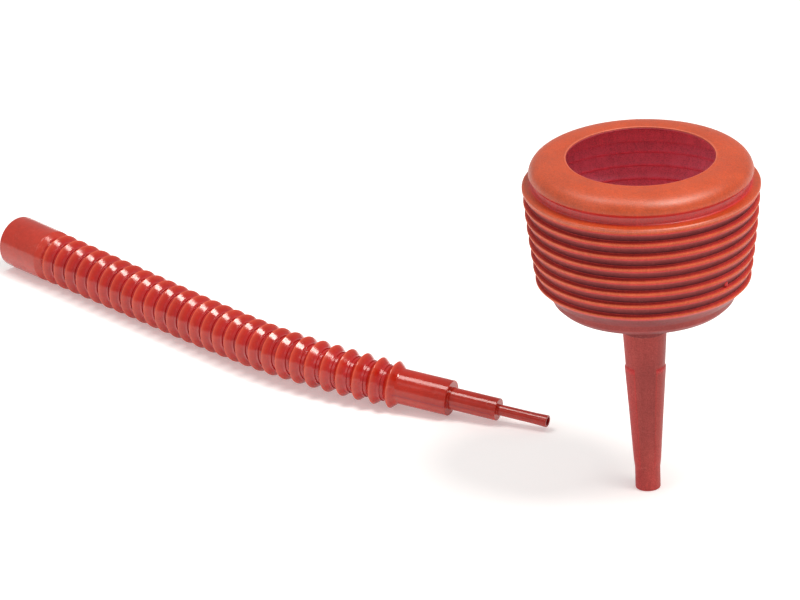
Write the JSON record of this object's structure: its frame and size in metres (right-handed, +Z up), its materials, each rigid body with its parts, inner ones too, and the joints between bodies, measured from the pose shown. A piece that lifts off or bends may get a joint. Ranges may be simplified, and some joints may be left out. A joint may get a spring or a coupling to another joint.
{
  "type": "bellows funnel with flexible extension spout",
  "caption": "Round bellows funnel with a domed mouth rim and tapering vented spout, beside its loose corrugated hose with a socket end and a stepped nozzle.",
  "frame": {"origin": "on the funnel's axis, at the lower end of the straight land of the spout's nose, 2.5 mm above the tip and the surface that the set stands on", "axes": "+Z up along the funnel's axis towards the mouth; the loose hose lies towards -X and +Y"},
  "size_m": [0.4318, 0.4098, 0.1978],
  "materials": {
    "funnel_red": "fine-grained moulded polyethylene, orange-red, faint satin sheen",
    "hose_red": "smooth moulded polyethylene, red, glossy on the nozzle"
  },
  "bodies": {
    "funnel": {"base_rim": "funnel_red", "base_bowl": "funnel_red", "spout_collar": "funnel_red", "spout": "funnel_red", "vent_ribs": "funnel_red", "spout_nose": "funnel_red"},
    "fold_6": {"fold_6": "funnel_red"},
    "fold_5": {"fold_5": "funnel_red"},
    "fold_4": {"fold_4": "funnel_red"},
    "fold_3": {"fold_3": "funnel_red"},
    "fold_2": {"fold_2": "funnel_red"},
    "fold_1": {"fold_1": "funnel_red"},
    "top": {"mouth_rim": "funnel_red", "dome": "funnel_red", "neck_band": "funnel_red", "flange": "funnel_red"},
    "hose_end": {"hose_socket": "hose_red", "ring_01": "hose_red"},
    "ring_02": {"ring_02": "hose_red"},
    "ring_03": {"ring_03": "hose_red"},
    "ring_04": {"ring_04": "hose_red"},
    "ring_05": {"ring_05": "hose_red"},
    "ring_06": {"ring_06": "hose_red"},
    "ring_07": {"ring_07": "hose_red"},
    "ring_08": {"ring_08": "hose_red"},
    "ring_09": {"ring_09": "hose_red"},
    "ring_10": {"ring_10": "hose_red"},
    "ring_11": {"ring_11": "hose_red"},
    "ring_12": {"ring_12": "hose_red"},
    "ring_13": {"ring_13": "hose_red"},
    "ring_14": {"ring_14": "hose_red"},
    "ring_15": {"ring_15": "hose_red"},
    "ring_16": {"ring_16": "hose_red"},
    "ring_17": {"ring_17": "hose_red"},
    "ring_18": {"ring_18": "hose_red"},
    "ring_19": {"ring_19": "hose_red"},
    "ring_20": {"ring_20": "hose_red"},
    "ring_21": {"ring_21": "hose_red"},
    "ring_22": {"ring_22": "hose_red"},
    "ring_23": {"ring_23": "hose_red"},
    "ring_24": {"ring_24": "hose_red"},
    "ring_25": {"ring_25": "hose_red"},
    "ring_26": {"ring_26": "hose_red"},
    "ring_27": {"ring_27": "hose_red"},
    "nozzle": {"ring_28": "hose_red", "nozzle_large": "hose_red", "nozzle_medium": "hose_red", "nozzle_small": "hose_red"}
  },
  "joints": [
    {"name": "bellows_1", "type": "slide", "parent": "funnel", "child": "fold_6", "axis": [0, 0, 1], "range_m": [-0.0014, 0.0014], "stiffness_N_per_m": 12000},
    {"name": "bellows_2", "type": "slide", "parent": "fold_6", "child": "fold_5", "axis": [0, 0, 1], "range_m": [-0.0014, 0.0014], "stiffness_N_per_m": 12000},
    {"name": "bellows_3", "type": "slide", "parent": "fold_5", "child": "fold_4", "axis": [0, 0, 1], "range_m": [-0.0014, 0.0014], "stiffness_N_per_m": 12000},
    {"name": "bellows_4", "type": "slide", "parent": "fold_4", "child": "fold_3", "axis": [0, 0, 1], "range_m": [-0.0014, 0.0014], "stiffness_N_per_m": 12000},
    {"name": "bellows_5", "type": "slide", "parent": "fold_3", "child": "fold_2", "axis": [0, 0, 1], "range_m": [-0.0014, 0.0014], "stiffness_N_per_m": 12000},
    {"name": "bellows_6", "type": "slide", "parent": "fold_2", "child": "fold_1", "axis": [0, 0, 1], "range_m": [-0.0014, 0.0014], "stiffness_N_per_m": 12000},
    {"name": "bellows_7", "type": "slide", "parent": "fold_1", "child": "top", "axis": [0, 0, 1], "range_m": [-0.0014, 0.0014], "stiffness_N_per_m": 12000},
    {"name": "hose_lift", "type": "slide", "parent": "funnel", "child": "hose_end", "axis": [0, 0, 1], "range_m": [0, 0.15]},
    {"name": "sweep_01", "type": "hinge", "parent": "hose_end", "child": "ring_02", "pos_m": [-0.32599, 0.30115, 0.01248], "axis": [0, 0, 1], "range_deg": [-5, 5]},
    {"name": "raise_02", "type": "hinge", "parent": "ring_02", "child": "ring_03", "pos_m": [-0.31938, 0.29358, 0.01246], "axis": [-0.7536, -0.6574, 0], "range_deg": [0, 5]},
    {"name": "sweep_03", "type": "hinge", "parent": "ring_03", "child": "ring_04", "pos_m": [-0.31277, 0.28601, 0.01243], "axis": [0, 0, 1], "range_deg": [-5, 5]},
    {"name": "raise_04", "type": "hinge", "parent": "ring_04", "child": "ring_05", "pos_m": [-0.30617, 0.27843, 0.0124], "axis": [-0.7536, -0.6574, 0], "range_deg": [0, 5]},
    {"name": "sweep_05", "type": "hinge", "parent": "ring_05", "child": "ring_06", "pos_m": [-0.29956, 0.27086, 0.01238], "axis": [0, 0, 1], "range_deg": [-5, 5]},
    {"name": "raise_06", "type": "hinge", "parent": "ring_06", "child": "ring_07", "pos_m": [-0.29295, 0.26329, 0.01235], "axis": [-0.7536, -0.6574, 0], "range_deg": [0, 5]},
    {"name": "sweep_07", "type": "hinge", "parent": "ring_07", "child": "ring_08", "pos_m": [-0.28635, 0.25571, 0.01232], "axis": [0, 0, 1], "range_deg": [-5, 5]},
    {"name": "raise_08", "type": "hinge", "parent": "ring_08", "child": "ring_09", "pos_m": [-0.27974, 0.24814, 0.0123], "axis": [-0.7536, -0.6574, 0], "range_deg": [0, 5]},
    {"name": "sweep_09", "type": "hinge", "parent": "ring_09", "child": "ring_10", "pos_m": [-0.27313, 0.24057, 0.01227], "axis": [0, 0, 1], "range_deg": [-5, 5]},
    {"name": "raise_10", "type": "hinge", "parent": "ring_10", "child": "ring_11", "pos_m": [-0.26653, 0.23299, 0.01225], "axis": [-0.7536, -0.6574, 0], "range_deg": [0, 5]},
    {"name": "sweep_11", "type": "hinge", "parent": "ring_11", "child": "ring_12", "pos_m": [-0.25992, 0.22542, 0.01222], "axis": [0, 0, 1], "range_deg": [-5, 5]},
    {"name": "raise_12", "type": "hinge", "parent": "ring_12", "child": "ring_13", "pos_m": [-0.25331, 0.21785, 0.01219], "axis": [-0.7536, -0.6574, 0], "range_deg": [0, 5]},
    {"name": "sweep_13", "type": "hinge", "parent": "ring_13", "child": "ring_14", "pos_m": [-0.24671, 0.21027, 0.01224], "axis": [0, 0, 1], "range_deg": [-5, 5]},
    {"name": "raise_14", "type": "hinge", "parent": "ring_14", "child": "ring_15", "pos_m": [-0.2401, 0.2027, 0.01235], "axis": [-0.7536, -0.6574, 0], "range_deg": [0, 5]},
    {"name": "sweep_15", "type": "hinge", "parent": "ring_15", "child": "ring_16", "pos_m": [-0.23349, 0.19513, 0.01253], "axis": [0, 0, 1], "range_deg": [-5, 5]},
    {"name": "raise_16", "type": "hinge", "parent": "ring_16", "child": "ring_17", "pos_m": [-0.22689, 0.18756, 0.01279], "axis": [-0.7536, -0.6574, 0], "range_deg": [0, 5]},
    {"name": "sweep_17", "type": "hinge", "parent": "ring_17", "child": "ring_18", "pos_m": [-0.22029, 0.17999, 0.01304], "axis": [0, 0, 1], "range_deg": [-5, 5]},
    {"name": "raise_18", "type": "hinge", "parent": "ring_18", "child": "ring_19", "pos_m": [-0.21368, 0.17242, 0.0133], "axis": [-0.7396, -0.673, 0], "range_deg": [0, 5]},
    {"name": "sweep_19", "type": "hinge", "parent": "ring_19", "child": "ring_20", "pos_m": [-0.20677, 0.16513, 0.01355], "axis": [0, 0, 1], "range_deg": [-5, 5]},
    {"name": "raise_20", "type": "hinge", "parent": "ring_20", "child": "ring_21", "pos_m": [-0.19955, 0.15814, 0.01381], "axis": [-0.6807, -0.7325, 0], "range_deg": [0, 5]},
    {"name": "sweep_21", "type": "hinge", "parent": "ring_21", "child": "ring_22", "pos_m": [-0.19205, 0.15145, 0.01392], "axis": [0, 0, 1], "range_deg": [-5, 5]},
    {"name": "raise_22", "type": "hinge", "parent": "ring_22", "child": "ring_23", "pos_m": [-0.18427, 0.14508, 0.01389], "axis": [-0.617, -0.7869, 0], "range_deg": [0, 5]},
    {"name": "sweep_23", "type": "hinge", "parent": "ring_23", "child": "ring_24", "pos_m": [-0.17623, 0.13905, 0.01373], "axis": [0, 0, 1], "range_deg": [-5, 5]},
    {"name": "raise_24", "type": "hinge", "parent": "ring_24", "child": "ring_25", "pos_m": [-0.16796, 0.13336, 0.01342], "axis": [-0.549, -0.8358, 0], "range_deg": [0, 5]},
    {"name": "sweep_25", "type": "hinge", "parent": "ring_25", "child": "ring_26", "pos_m": [-0.15945, 0.12803, 0.01297], "axis": [0, 0, 1], "range_deg": [-5, 5]},
    {"name": "raise_26", "type": "hinge", "parent": "ring_26", "child": "ring_27", "pos_m": [-0.15074, 0.12306, 0.01239], "axis": [-0.4772, -0.8788, 0], "range_deg": [0, 5]},
    {"name": "sweep_27", "type": "hinge", "parent": "ring_27", "child": "nozzle", "pos_m": [-0.14183, 0.11846, 0.01166], "axis": [0, 0, 1], "range_deg": [-5, 5]}
  ],
  "couplings": [
    {"joint": "bellows_2", "follows": "bellows_1", "ratio": 1},
    {"joint": "bellows_3", "follows": "bellows_1", "ratio": 1},
    {"joint": "bellows_4", "follows": "bellows_1", "ratio": 1},
    {"joint": "bellows_5", "follows": "bellows_1", "ratio": 1},
    {"joint": "bellows_6", "follows": "bellows_1", "ratio": 1},
    {"joint": "bellows_7", "follows": "bellows_1", "ratio": 1},
    {"joint": "sweep_03", "follows": "sweep_01", "ratio": 1},
    {"joint": "raise_04", "follows": "raise_02", "ratio": 1},
    {"joint": "sweep_05", "follows": "sweep_01", "ratio": 1},
    {"joint": "raise_06", "follows": "raise_02", "ratio": 1},
    {"joint": "sweep_07", "follows": "sweep_01", "ratio": 1},
    {"joint": "raise_08", "follows": "raise_02", "ratio": 1},
    {"joint": "sweep_09", "follows": "sweep_01", "ratio": 1},
    {"joint": "raise_10", "follows": "raise_02", "ratio": 1},
    {"joint": "sweep_11", "follows": "sweep_01", "ratio": 1},
    {"joint": "raise_12", "follows": "raise_02", "ratio": 1},
    {"joint": "sweep_13", "follows": "sweep_01", "ratio": 1},
    {"joint": "raise_14", "follows": "raise_02", "ratio": 1},
    {"joint": "sweep_15", "follows": "sweep_01", "ratio": 1},
    {"joint": "raise_16", "follows": "raise_02", "ratio": 1},
    {"joint": "sweep_17", "follows": "sweep_01", "ratio": 1},
    {"joint": "raise_18", "follows": "raise_02", "ratio": 1},
    {"joint": "sweep_19", "follows": "sweep_01", "ratio": 1},
    {"joint": "raise_20", "follows": "raise_02", "ratio": 1},
    {"joint": "sweep_21", "follows": "sweep_01", "ratio": 1},
    {"joint": "raise_22", "follows": "raise_02", "ratio": 1},
    {"joint": "sweep_23", "follows": "sweep_01", "ratio": 1},
    {"joint": "raise_24", "follows": "raise_02", "ratio": 1},
    {"joint": "sweep_25", "follows": "sweep_01", "ratio": 1},
    {"joint": "raise_26", "follows": "raise_02", "ratio": 1},
    {"joint": "sweep_27", "follows": "sweep_01", "ratio": 1}
  ]
}
